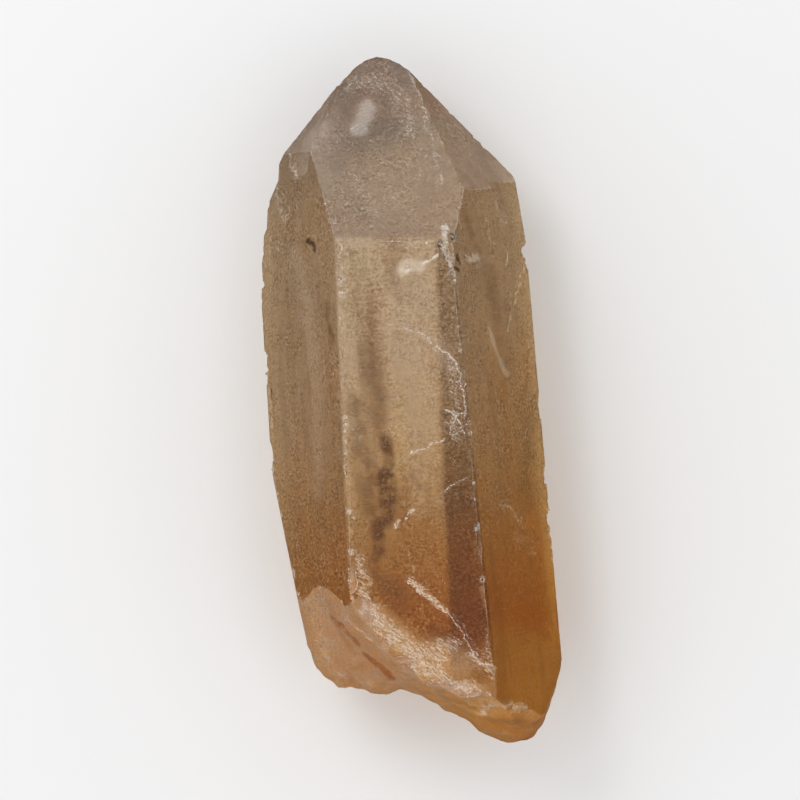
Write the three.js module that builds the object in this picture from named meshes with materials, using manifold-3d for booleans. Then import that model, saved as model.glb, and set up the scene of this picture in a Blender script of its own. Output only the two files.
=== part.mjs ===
// A natural citrine crystal, lying on the widest of its back faces.
// It grew as one piece: a six-sided quartz prism with stepped shoulders, a six-faced point at one end,
// worn blunt, and a rough break at the other end where it came off the rock.
//
// Millimetres. +Y runs along the crystal to its point, +X is to its right and +Z is up.
// The crystal is shaped round its own long axis, with y = 0 near the point, and set down on z = 0 last.

import * as THREE from 'three';
import { mergeVertices } from 'three/addons/utils/BufferGeometryUtils.js';
import { ImprovedNoise } from 'three/addons/math/ImprovedNoise.js';
import Module from 'manifold-3d';

const wasm = await Module();
wasm.setup();
const noise = new ImprovedNoise();

// The six sides of the crystal, in degrees round its long axis from the side that faces up.
const SIDES = { front: 0, right: 60, rightBack: 120, back: 180, leftBack: 240, left: 300 };

// The six prism faces: how far each stands from the axis, and how many degrees it leans in to the point.
const FACE_OUT = { front: 38.1, right: 31.6, rightBack: 15.4, back: 22.9, leftBack: 22.6, left: 33 };
const FACE_LEAN = { front: 0, right: 0.6, rightBack: -0.8, back: 0, leftBack: 0.3, left: 2.3 };
const FACE_OUT_AT = -80;

// The six faces of the point: how far below y = 0 each would cross the axis, how many degrees it leans
// from the axis (38.2 on a perfect quartz, a little off where it is worn or grew unevenly), and its twist.
const POINT = {
  front: { drop: 7.05, lean: 38.2, twist: 3.9 },
  right: { drop: -1.3, lean: 34.2, twist: 0 },
  rightBack: { drop: 1.6, lean: 36.8, twist: 0 },
  back: { drop: 2.1, lean: 38.2, twist: 0 },
  leftBack: { drop: 0.1, lean: 35.5, twist: 0 },
  left: { drop: -1.1, lean: 41.4, twist: 0 },
};

// Steep facets between a prism face and the point: they pass `out` from the axis at the height `at`.
const FRONT_STEEP = { side: 'front', out: 38.1, at: -56.6, lean: 16, twist: 1.4 };
const LEFT_STEEP = { side: 'left', out: 26.46, at: -28.7, lean: 12.6, twist: 0 };
const RIGHT_STEEP = { side: 'right', out: 29.86, at: -42.3, lean: 8.9, twist: 0 };
const SUNK_RIGHT_STEEP = { side: 'right', out: 28.8, at: -41, lean: 8.9, twist: 0 };
// The lower left flank draws in to the break, and turns its back on the left face a little.
const LEFT_FLANK = { side: 'left', out: 36.8, at: -116, lean: -6.6, twist: -30 };

// The whole crystal, before the break: its length below y = 0.
const UNBROKEN_LENGTH = 215;

// The crystal is a bundle of parallel growths that share most of their faces. Each entry tells where one
// differs: prism faces that stand further out, faces of the point that start lower, and a steep facet.
const GROWTHS = [
  { out: {}, dropBy: {}, steep: RIGHT_STEEP },
  { out: { rightBack: 27.8 }, dropBy: {}, steep: SUNK_RIGHT_STEEP },
  { out: { rightBack: 26.8, back: 22.5 }, dropBy: { right: 7.1, rightBack: 6.2 } },
  { out: { leftBack: 26.9, back: 22.6 }, dropBy: { leftBack: 4.2 }, steep: RIGHT_STEEP },
  { out: { leftBack: 28.1, back: 22.5 }, dropBy: { leftBack: 10.4, left: 6 }, steep: RIGHT_STEEP },
  { out: { leftBack: 29.2, back: 22.4 }, dropBy: { leftBack: 15.3, left: 9 }, steep: RIGHT_STEEP },
  { out: { leftBack: 30.4, back: 22.2 }, dropBy: { leftBack: 21.7, left: 14 }, steep: RIGHT_STEEP },
  { out: { rightBack: 26.9, back: 22.2 }, dropBy: { right: 30, rightBack: 24, back: 18 } },
];

// The worn tip: an egg-shaped limit that takes the sharp corners off everything above a height.
const TIP_WEAR = { centre: [-0.4, -25.2, -2], radii: [16.8, 19.6, 10.4], above: -12 };

// The outline of the break, from left to right: x, and the y of its lowest rim.
const BREAK_RIM = [
  [-48, -140], [-36, -146], [-33.2, -150], [-31.9, -157.9], [-31.2, -161.7], [-29.9, -164.7], [-27.5, -167],
  [-24, -169.9], [-21.4, -169.3], [-18.1, -170.9], [-13.3, -172.7], [-8.9, -171], [-4.4, -172.7],
  [-1.6, -174.5], [3, -178.3], [6.6, -179.7], [11.1, -184.5], [15.9, -187], [19.2, -187.8], [22.9, -187.6],
  [25.1, -186.3], [28, -183.1], [30.6, -177], [33.3, -170.5], [36, -158], [48, -140],
];
// The same outline without its small steps, which the break keeps to further in.
const BREAK_TREND = [
  [-48, -144], [-33, -158], [-24, -167.6], [-8, -171.6], [4, -177.4], [19, -186], [28, -182], [34, -170],
  [48, -142],
];
// How far the break rises from that rim to the front face and to the back face, by x.
const BREAK_FRONT_RISE = [
  [-48, 50], [-30, 50], [-26.4, 44], [-21.7, 24.5], [-18.5, 21.5], [-14.3, 14.5], [-8.3, 7.6], [-1, 5.2],
  [5.3, 6], [11, 8.6], [17, 10.3], [25, 8], [31, 3], [48, 2],
];
const BREAK_BACK_RISE = [[-48, 6], [-20, 9], [0, 17], [18, 22], [34, 12], [48, 6]];
const BREAK_RIM_DEPTH = 4;
const BREAK_FRONT_DEPTH = FACE_OUT.front;
const BREAK_BACK_DEPTH = -FACE_OUT.back;

// Shell-shaped scars: shallow bites out of the break and the edges. The place, size and turn of each.
const SCARS = [
  { at: [18.4, -187.6, 34], radii: [10.5, 9.4, 11.4], turn: [0.4, 0, 0.2] },
  { at: [-40.6, -127.5, 1], radii: [5.4, 7.5, 9], turn: [0, 0, 0.12] },
  { at: [8, -194, -15], radii: [17, 13, 14], turn: [0.4, 0, 0] },
  { at: [-19, -180.6, -14], radii: [15, 11, 12], turn: [0.3, 0, 0.2] },
  { at: [-25.6, -30.6, 14], radii: [2.6, 3.6, 2.8], turn: [0, 0, 0.3] },
];

// Chips along the lip where the break meets the front face: x and size.
const LIP_CHIPS = [
  { x: -16.9, size: [3.2, 4.6, 1.5] },
  { x: -12.4, size: [1.8, 1.5, 1.0] },
  { x: -8.2, size: [4.4, 2.0, 1.3] },
  { x: -0.8, size: [2.4, 1.6, 1.7] },
  { x: 3.8, size: [4.6, 2.3, 1.2] },
  { x: 10.4, size: [1.7, 1.5, 1.0] },
];

// Nicks in the long edges: which two faces, y along the edge, and how big.
const NICKS = [
  { edge: ['front', 'right'], y: -54.5, size: [2.5, 2.6, 2.1] },
  { edge: ['front', 'right'], y: -58.6, size: [1.5, 2.6, 1.3] },
  { edge: ['front', 'right'], y: -64.5, size: [0.9, 1.9, 0.9] },
  { edge: ['front', 'right'], y: -90.5, size: [0.9, 3.0, 0.8] },
  { edge: ['front', 'right'], y: -103.5, size: [1.5, 2.2, 1.1] },
  { edge: ['front', 'right'], y: -106.5, size: [1.1, 3.6, 1.0] },
  { edge: ['front', 'right'], y: -134, size: [0.7, 4.2, 0.7] },
  { edge: ['front', 'left'], y: -55.4, size: [0.9, 1.4, 0.8] },
  { edge: ['front', 'left'], y: -61.5, size: [1.1, 1.9, 0.9] },
  { edge: ['front', 'left'], y: -80.5, size: [0.9, 3.2, 0.8] },
  { edge: ['front', 'left'], y: -112, size: [0.7, 2.6, 0.7] },
  { edge: ['front', 'left'], y: -140.5, size: [1.5, 3.6, 1.1] },
  { edge: ['right', 'rightBack'], y: -60, size: [1.9, 1.9, 3.4] },
  { edge: ['right', 'rightBack'], y: -62.6, size: [0.8, 2.2, 1.6] },
  { edge: ['right', 'rightBack'], y: -101, size: [0.6, 3.4, 1.4] },
  { edge: ['right', 'rightBack'], y: -119, size: [0.7, 2.0, 2.2] },
  { edge: ['right', 'rightBack'], y: -130, size: [0.9, 2.4, 1.6] },
  { edge: ['left', 'leftBack'], y: -83, size: [0.8, 2.6, 1.8] },
  { edge: ['left', 'leftBack'], y: -107, size: [0.9, 3.4, 1.6] },
  { edge: ['back', 'rightBack'], y: -62, size: [1.6, 3.0, 1.4] },
  { edge: ['back', 'rightBack'], y: -118, size: [1.1, 4.6, 1.2] },
  { edge: ['back', 'leftBack'], y: -74, size: [1.1, 3.8, 1.2] },
  { edge: ['back', 'leftBack'], y: -131, size: [1.7, 3.0, 1.4] },
];

// Finish
const CITRINE_COLOUR = 0x9c6f3c;

const BIG = 420;
const BREAK_CELLS = { across: 54, through: 42 };
const LUMP_DETAIL = 3;
// How uneven the lumps that bite are, as a share of their size.
const NICK_ROUGHNESS = 0.5;
const SCAR_ROUGHNESS = 0.08;
const WEAR_ROUGHNESS = 0.035;

// Reads a table of [position, value] pairs, straight between its points.
function along(table, position) {
  const next = table.findIndex(([at]) => at >= position);
  if (next === 0) return table[0][1];
  if (next < 0) return table[table.length - 1][1];
  const [fromAt, fromValue] = table[next - 1];
  const [toAt, toValue] = table[next];
  return THREE.MathUtils.mapLinear(position, fromAt, toAt, fromValue, toValue);
}

// A closed three.js geometry as a solid that can be cut and joined.
function solidOf(geometry) {
  const bare = geometry.clone();
  bare.deleteAttribute('normal');
  bare.deleteAttribute('uv');
  const merged = mergeVertices(bare, 1e-4);
  return new wasm.Manifold(new wasm.Mesh({
    numProp: 3,
    vertProperties: new Float32Array(merged.attributes.position.array),
    triVerts: new Uint32Array(merged.index.array),
  }));
}

// A cut or joined solid as a three.js geometry.
function geometryOf(solid) {
  const mesh = solid.getMesh();
  const geometry = new THREE.BufferGeometry();
  geometry.setAttribute('position', new THREE.BufferAttribute(mesh.vertProperties, 3));
  geometry.setIndex(new THREE.BufferAttribute(mesh.triVerts, 1));
  return geometry;
}

// The direction that a side faces, square to the long axis, twisted round it by some degrees.
function facing(side, twist = 0) {
  const angle = THREE.MathUtils.degToRad(SIDES[side] + twist);
  return new THREE.Vector3(Math.sin(angle), 0, Math.cos(angle));
}

// A plane of a side that leans in to the point by some degrees, standing `out` from the axis at height `at`.
function sidePlane({ side, out, at, lean, twist = 0 }) {
  const outward = facing(side, twist);
  const tilt = THREE.MathUtils.degToRad(lean);
  const normal = outward.clone().multiplyScalar(Math.cos(tilt));
  normal.y = Math.sin(tilt);
  const onPlane = outward.multiplyScalar(out);
  onPlane.y = at;
  return { normal, distance: normal.dot(onPlane) };
}

// Everything beyond a plane, as a block to cut with.
function beyond({ normal, distance }) {
  const block = new THREE.BoxGeometry(BIG, BIG, BIG).translate(0, 0, BIG / 2);
  block.applyQuaternion(new THREE.Quaternion().setFromUnitVectors(new THREE.Vector3(0, 0, 1), normal));
  block.translate(normal.x * distance, normal.y * distance, normal.z * distance);
  return solidOf(block);
}

function prismPlane(side, out) {
  return sidePlane({ side, out, at: FACE_OUT_AT, lean: FACE_LEAN[side] });
}

function pointPlane(side, dropBy) {
  const { drop, lean, twist } = POINT[side];
  return sidePlane({ side, out: 0, at: -drop - dropBy, lean, twist });
}

// One quartz point: a long block trimmed by its six prism faces and by the six faces of its point.
function quartzPoint({ out, dropBy, steep }) {
  const outs = { ...FACE_OUT, ...out };
  let crystal = solidOf(new THREE.BoxGeometry(BIG / 2, UNBROKEN_LENGTH + BIG / 8, BIG / 2)
    .translate(0, BIG / 16 - UNBROKEN_LENGTH / 2, 0));
  for (const side of Object.keys(SIDES)) {
    crystal = crystal.subtract(beyond(prismPlane(side, outs[side])));
    crystal = crystal.subtract(beyond(pointPlane(side, dropBy[side] ?? 0)));
  }
  return steep ? crystal.subtract(beyond(sidePlane(steep))) : crystal;
}

// All the parallel growths as one crystal, with the steep facets that they share.
function grownCrystal() {
  const [core, ...rest] = GROWTHS.map(quartzPoint);
  const joined = rest.reduce((crystal, growth) => crystal.add(growth), core);
  return [FRONT_STEEP, LEFT_STEEP, LEFT_FLANK]
    .reduce((crystal, facet) => crystal.subtract(beyond(sidePlane(facet))), joined);
}

// A lumpy ball, used to bite scars and nicks out of the crystal. Each place gives it another shape.
function lump({ at, radii, turn = [0, 0, 0] }, roughness) {
  const ball = mergeVertices(new THREE.IcosahedronGeometry(1, LUMP_DETAIL).deleteAttribute('uv')
    .deleteAttribute('normal'), 1e-4);
  const position = ball.getAttribute('position');
  const point = new THREE.Vector3();
  for (let i = 0; i < position.count; i += 1) {
    point.fromBufferAttribute(position, i);
    const swell = noise.noise(point.x * 2.1 + at[0], point.y * 2.1 + at[1], point.z * 2.1 + at[2]);
    point.multiplyScalar(1 + roughness * swell);
    position.setXYZ(i, point.x, point.y, point.z);
  }
  ball.scale(...radii);
  ball.rotateX(turn[0]).rotateY(turn[1]).rotateZ(turn[2]);
  return solidOf(ball.translate(...at));
}

// Where two prism faces meet at height y.
function edgePoint([first, second], y) {
  const planes = [first, second].map((side) => prismPlane(side, widestOut(side)));
  const [a, b] = planes.map(({ normal }) => normal);
  const [p, q] = planes.map(({ normal, distance }) => distance - normal.y * y);
  const det = a.x * b.z - a.z * b.x;
  return [(p * b.z - q * a.z) / det, y, (q * a.x - p * b.x) / det];
}

function widestOut(side) {
  return Math.max(FACE_OUT[side], ...GROWTHS.map(({ out }) => out[side] ?? 0));
}

// The height of the break under a place on the crystal's section, with ripples and hackle in it.
function breakHeight(x, z) {
  const toFront = THREE.MathUtils.clamp((z - BREAK_RIM_DEPTH) / (BREAK_FRONT_DEPTH - BREAK_RIM_DEPTH), 0, 1.2);
  const toBack = THREE.MathUtils.clamp((BREAK_RIM_DEPTH - z) / (BREAK_RIM_DEPTH - BREAK_BACK_DEPTH), 0, 1.2);
  const fromRim = Math.min(1, 2 * (toFront + toBack));
  const rim = THREE.MathUtils.lerp(along(BREAK_RIM, x), along(BREAK_TREND, x), fromRim);
  const rise = along(BREAK_FRONT_RISE, x) * toFront ** 1.25 + along(BREAK_BACK_RISE, x) * toBack ** 1.5;
  const ripple = 0.5 * Math.sin(Math.hypot(x - 40, z - 46) * 0.7) * fromRim;
  const lumps = 1.6 * noise.noise(x * 0.11, z * 0.11, 3.7) + 1.1 * noise.noise(x * 0.26, z * 0.24, 9.1);
  const hackle = 0.45 * noise.noise(x * 0.7, z * 0.7, 5.3);
  return rim + rise + ripple + (lumps + hackle) * (0.25 + 0.75 * fromRim);
}

// The rock side of the break: a block whose top is the broken surface.
function rockSide() {
  const { across, through } = BREAK_CELLS;
  const wide = 96;
  const deep = 84;
  const floor = -UNBROKEN_LENGTH - 20;
  const block = mergeVertices(new THREE.BoxGeometry(wide, 1, deep, across, 1, through)
    .deleteAttribute('uv').deleteAttribute('normal'), 1e-4);
  block.translate(0, 0, (BREAK_FRONT_DEPTH + BREAK_BACK_DEPTH) / 2);
  const position = block.getAttribute('position');
  for (let i = 0; i < position.count; i += 1) {
    const isTop = position.getY(i) > 0;
    position.setY(i, isTop ? breakHeight(position.getX(i), position.getZ(i)) : floor);
  }
  return solidOf(block);
}

// What the worn tip has lost: a block over the point, less an egg that the tip still fills.
function tipWear() {
  const { centre, radii, above } = TIP_WEAR;
  const block = new THREE.BoxGeometry(BIG, BIG, BIG).translate(0, above + BIG / 2, 0);
  return solidOf(block).subtract(lump({ at: centre, radii }, WEAR_ROUGHNESS));
}

function brokenCrystal() {
  let crystal = grownCrystal().subtract(rockSide());
  for (const scar of SCARS) crystal = crystal.subtract(lump(scar, SCAR_ROUGHNESS));
  for (const { edge, y, size } of NICKS) {
    crystal = crystal.subtract(lump({ at: edgePoint(edge, y), radii: size }, NICK_ROUGHNESS));
  }
  for (const { x, size } of LIP_CHIPS) {
    const at = [x, breakHeight(x, BREAK_FRONT_DEPTH), BREAK_FRONT_DEPTH];
    crystal = crystal.subtract(lump({ at, radii: size }, NICK_ROUGHNESS));
  }
  return crystal.subtract(tipWear());
}

// The largest piece left, in case a scar has cut a crumb free.
function largestPiece(solid) {
  return solid.decompose().sort((a, b) => b.volume() - a.volume())[0];
}

function citrineCrystal() {
  const geometry = geometryOf(largestPiece(brokenCrystal())).toNonIndexed();
  geometry.computeBoundingBox();
  const { min, max } = geometry.boundingBox;
  geometry.translate(-(min.x + max.x) / 2, -(min.y + max.y) / 2, -min.z);
  geometry.computeVertexNormals();
  const material = new THREE.MeshStandardMaterial({
    color: CITRINE_COLOUR,
    roughness: 0.3,
    metalness: 0,
    transparent: true,
    opacity: 0.8,
    flatShading: true,
  });
  const mesh = new THREE.Mesh(geometry, material);
  mesh.name = 'citrine_crystal';
  return mesh;
}

const part = new THREE.Group();
part.add(citrineCrystal());

export default part;
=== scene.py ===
# %% [markdown]
# # A natural citrine point
#
# The crystal is one piece of smoky golden quartz, about 18 cm long. The measured model already has its
# flat faces, its stepped shoulders, its worn tip and its break. Here the same solid gets what the eye
# looks for in a real stone: the light that passes through it, the frosted point, bruised edges, growth
# lines, the white cracks and smoky clouds, and the rust of the rock on its broken end.

# %% Load the measured crystal
import math
import random

import bmesh
import bpy
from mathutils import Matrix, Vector, noise
from mathutils.bvhtree import BVHTree
from mathutils.kdtree import KDTree


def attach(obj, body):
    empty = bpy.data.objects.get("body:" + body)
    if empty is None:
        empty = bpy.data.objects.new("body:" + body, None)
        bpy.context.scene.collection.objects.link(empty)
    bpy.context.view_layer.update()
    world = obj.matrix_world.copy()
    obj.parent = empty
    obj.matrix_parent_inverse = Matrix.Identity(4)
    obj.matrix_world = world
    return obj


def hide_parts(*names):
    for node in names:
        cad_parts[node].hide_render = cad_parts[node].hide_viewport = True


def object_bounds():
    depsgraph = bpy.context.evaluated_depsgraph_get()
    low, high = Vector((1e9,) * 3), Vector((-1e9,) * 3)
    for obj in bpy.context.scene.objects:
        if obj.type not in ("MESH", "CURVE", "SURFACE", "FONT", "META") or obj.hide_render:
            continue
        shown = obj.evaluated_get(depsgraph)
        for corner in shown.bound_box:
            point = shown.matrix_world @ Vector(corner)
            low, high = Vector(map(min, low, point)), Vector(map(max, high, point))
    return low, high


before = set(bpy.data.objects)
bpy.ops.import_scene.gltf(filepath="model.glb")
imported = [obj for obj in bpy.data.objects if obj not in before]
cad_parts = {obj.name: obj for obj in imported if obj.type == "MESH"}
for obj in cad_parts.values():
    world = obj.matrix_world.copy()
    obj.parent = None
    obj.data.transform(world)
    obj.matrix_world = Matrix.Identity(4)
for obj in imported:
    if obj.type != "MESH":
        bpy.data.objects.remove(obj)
cad_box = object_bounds()
MM = 0.001
print("the crystal measures", [round((b - a) / MM, 1) for a, b in zip(*cad_box)], "mm")

# %% [markdown]
# The stone is worked on a finer mesh than the measured one. The solid is copied and its flat faces are
# joined up again, so that each crystal face is one face of the mesh. Large faces grew, small ones broke:
# their area tells which is which, and the mesh keeps that as a value on each face, because the two have
# a different finish. The end faces of the point are marked too, since they are more frosted than the
# sides. They are the large faces that look up the stone.

# %% Join the flat faces and mark what grew and what broke
FLAT_ENOUGH = math.radians(0.6)
SMALLEST_GROWN_FACE = 20 * MM * MM
SMALLEST_POINT_FACE = 120 * MM * MM
LOOKS_UP_STONE = 0.35
WELD = 1e-6

stone_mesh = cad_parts["citrine_crystal"].data.copy()
stone_mesh.name = "citrine_stone"
bm = bmesh.new()
bm.from_mesh(stone_mesh)
bmesh.ops.remove_doubles(bm, verts=bm.verts, dist=WELD)
bmesh.ops.dissolve_limit(bm, angle_limit=FLAT_ENOUGH, verts=bm.verts, edges=bm.edges)
broken_face = bm.faces.layers.float.new("broken")
point_face = bm.faces.layers.float.new("point_face")
for face in bm.faces:
    area = face.calc_area()
    face[broken_face] = 0.0 if area > SMALLEST_GROWN_FACE else 1.0
    face[point_face] = 1.0 if area > SMALLEST_POINT_FACE and face.normal.y > LOOKS_UP_STONE else 0.0
print("flat faces joined:", len(bm.faces))

# %% [markdown]
# Thin parallel cuts in all three directions then turn the faces into small even facets, without moving
# a crystal edge. The cuts are closer along the crystal than across it, because quartz grows in fine
# steps that run across its sides, and those steps need facets to stand on.

# %% Slice the solid into small facets
SLICE_ACROSS = 1.6 * MM
SLICE_ALONG = 0.9 * MM
ON_THE_CUT = 1e-7


def slice_through(bm, normal, low, high, spacing):
    """Cuts the whole mesh with parallel planes, so that no facet is wider than the spacing."""
    count = int((high - low) / spacing)
    for i in range(1, count + 1):
        at = low + (high - low) * i / (count + 1)
        everything = bm.verts[:] + bm.edges[:] + bm.faces[:]
        bmesh.ops.bisect_plane(bm, geom=everything, dist=ON_THE_CUT, plane_co=normal * at, plane_no=normal)


def cut_many_sided(bm):
    """Leaves no face with more than four corners."""
    bmesh.ops.triangulate(bm, faces=[f for f in bm.faces if len(f.verts) > 4])
    bm.normal_update()


low, high = cad_box
for axis, spacing in enumerate((SLICE_ACROSS, SLICE_ALONG, SLICE_ACROSS)):
    direction = Vector([float(axis == i) for i in range(3)])
    slice_through(bm, direction, low[axis], high[axis], spacing)
cut_many_sided(bm)
print("facets after slicing:", len(bm.faces))

# %% [markdown]
# Wear starts at the edges, so each point of the mesh has to know how far it is from the nearest one.
# Points are set close together along every sharp edge, in a tree that finds the nearest quickly.

# %% Find the sharp edges
SHARP = math.radians(18)
ALONG_EDGE = 0.3 * MM


def points_on_sharp_edges(bm):
    """Points along each sharp edge that bounds a grown face; the creases of the break don't count."""
    found = []
    for edge in bm.edges:
        faces = edge.link_faces
        bounds_grown = any(face[broken_face] < 0.5 for face in faces)
        if len(faces) == 2 and bounds_grown and edge.calc_face_angle() > SHARP:
            a, b = (v.co for v in edge.verts)
            count = max(1, round((b - a).length / ALONG_EDGE))
            found += [a.lerp(b, i / count) for i in range(count)]
    return found


def tree_of(points):
    tree = KDTree(len(points))
    for i, co in enumerate(points):
        tree.insert(co, i)
    tree.balance()
    return tree


edge_points = points_on_sharp_edges(bm)
near_edge = tree_of(edge_points)
print("points on sharp edges:", len(edge_points))

# %% [markdown]
# The white lines are cracks that reach the surface. Each is drawn as a few points, seen from
# above in millimetres, and joined by a curve that noise pushes about, so that it wanders as a crack
# does. Two short ones near the top of the front are painted glints, white spots where light flashes
# off the stone. The last two lie on the underside, and show through the clear stone.

# %% Draw the cracks and two painted glints
class Trace:
    """A line on the stone: points (x, y) in mm, half its width in mm, and how strong the mark is.

    The wobble says by how many mm noise pushes the line about."""

    def __init__(self, points, half_width, strength=1.0, wobble=0.7, from_below=False):
        self.points = [Vector((px, py)) for px, py in points]
        self.half_width = half_width * MM
        self.strength = strength
        self.wobble = wobble
        self.from_below = from_below


CRACKS_AND_GLINTS = [
    Trace([(-14, 18.4), (-9, 19.2), (-3, 20.4), (1, 20.2)], 0.42, 0.42),
    Trace([(1, 20.2), (6, 17.4), (9.5, 14.2), (12.5, 11.5)], 0.56, 0.60),
    Trace([(9.5, 14.2), (12.5, 11.5), (14.6, 8.6), (15.4, 4.6)], 0.70, 0.66),
    Trace([(15.4, 4.6), (15.8, -0.7), (15.6, -6)], 0.56, 0.64),
    Trace([(9.8, 12.6), (12.2, 9.0), (15.0, 7.4)], 0.42, 0.55),
    Trace([(11.0, -2.6), (13.4, -4.8), (15.4, -9.6)], 0.55, 0.66),
    Trace([(15.4, -3.4), (12.8, -6.0), (11.0, -9.8)], 0.60, 0.62),
    Trace([(10.2, -5.8), (13.0, -7.4), (15.8, -6.8)], 0.45, 0.60),
    Trace([(14.8, -8.8), (12, -9.4), (8, -10.8), (4, -12.4), (0.8, -13.4)], 0.60, 0.62),
    Trace([(1.2, -13.0), (0.2, -13.6)], 1.00, 0.80, 0.2),
    Trace([(6.6, -5.2), (3.6, -7.6), (2.2, -10.4)], 0.60, 0.46),
    Trace([(0.4, -13.2), (-3, -15.2), (-5.6, -17.4)], 0.36, 0.40),
    Trace([(14.6, -20.4), (12, -21.8), (9, -23.6)], 0.42, 0.66),
    Trace([(9, -23.6), (5, -26.4), (1.5, -29.5), (-2.8, -31.0)], 0.42, 0.46),
    Trace([(4.4, -24.8), (4.0, -25.8)], 1.10, 0.62, 0.2),
    Trace([(0.2, -27.6), (-1.8, -29.8)], 1.30, 0.62, 0.2),
    Trace([(-3.8, -30.4), (-4.8, -31.8)], 1.60, 0.60, 0.2),
    Trace([(-3.4, -35), (-2.4, -38.5), (-0.8, -42.5), (-1.2, -46)], 0.46, 0.50),
    Trace([(-3.2, -45.4), (0.2, -48.8), (3.2, -51.4), (6.2, -54.8)], 1.30, 0.60, 1.2),
    Trace([(-2.0, -45.4), (1.8, -48.4), (5.0, -53.0)], 0.60, 0.56, 1.2),
    Trace([(6.2, -54.8), (8.6, -57.2), (10.4, -61), (12.4, -65.2), (15, -67.6)], 0.44, 0.62),
    Trace([(7.0, -54.6), (9.8, -57.4), (11.6, -61.4), (13.4, -65.0)], 0.36, 0.52),
    Trace([(11.6, -65.6), (14.4, -68.8), (17.4, -69.6)], 1.00, 0.60, 1.0),
    Trace([(12.4, -66.0), (14, -70.5), (15.4, -74)], 0.40, 0.50),
    Trace([(-4, 42.2), (3, 41.6), (9, 41.9), (15, 41.2)], 0.36, 0.35, 0.3),
    Trace([(-13.4, 41.5), (-6, 39.8), (2, 40.2), (9, 39.6)], 0.34, 0.30, 0.4),
    # Painted glints: this line and the next are white spots where light flashes off the stone.
    Trace([(2.4, 34.9), (4.2, 34.1)], 1.60, 0.85, 0.2),
    Trace([(8.2, 35.2), (10.2, 36.2), (12.2, 37.2)], 0.80, 0.74, 0.2),
    Trace([(-14, 9.6), (-10.5, 9.2), (-8.6, 9.8)], 0.40, 0.50, 0.4),
    Trace([(-13.6, 7.0), (-11.5, 6.6), (-9.8, 6.9)], 0.36, 0.42, 0.4),
    Trace([(18.4, 53.2), (18.2, 48.4), (18.5, 44)], 0.40, 0.55, 0.4),
    Trace([(22.4, 50.8), (22.2, 46), (22.6, 40.4)], 0.36, 0.50, 0.4),
    Trace([(24.6, 52.4), (29, 52.0), (33, 52.6)], 0.40, 0.50, 0.5),
    Trace([(25.4, 46.8), (26.6, 43.6), (25.8, 41.0), (27.4, 39.0)], 0.40, 0.60, 0.6),
    Trace([(24.8, 45.8), (28, 45.4), (33.6, 45.9)], 0.34, 0.45, 0.5),
    Trace([(30.6, 36.4), (30.2, 33.4)], 0.45, 0.70, 0.3),
    Trace([(19.6, 36.6), (21.6, 34.6), (22.6, 36.8)], 0.55, 0.55, 0.3),
    Trace([(-7.2, 72.3), (-5.4, 73.2)], 0.30, 1.0, 0.0),
    Trace([(-26.6, 57.6), (-25.4, 53.6), (-26.4, 50.0)], 0.80, 0.54, 0.8),
    Trace([(-23.6, 56.8), (-22.8, 52.6)], 0.75, 0.50, 0.8),
    Trace([(-28.4, 46.6), (-28.8, 42.4)], 0.60, 0.50, 0.8),
    Trace([(-22.8, -4.6), (-22.4, -9.8), (-23.0, -13.4)], 0.42, 0.50, 0.8),
    Trace([(24.6, -28.4), (27.4, -31.6), (28.4, -35.8)], 0.46, 0.52, 1.0),
    Trace([(29.2, -37.8), (31.8, -41.6)], 0.50, 0.50, 1.0),
    Trace([(-16, 30), (-4, 22), (6, 8), (9, -8), (20, -18)], 0.50, 0.45, 1.4, from_below=True),
    Trace([(-10, -6), (2, -16), (5, -30), (16, -44)], 0.50, 0.45, 1.2, from_below=True),
]
print("cracks:", len(CRACKS_AND_GLINTS))

# %% [markdown]
# A wide line is a swarm of tiny cracks that looks like sugar. Sugar lies where the stone was knocked or
# rubbed: round the worn tip, along the edges and above the lip of the break.

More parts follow.
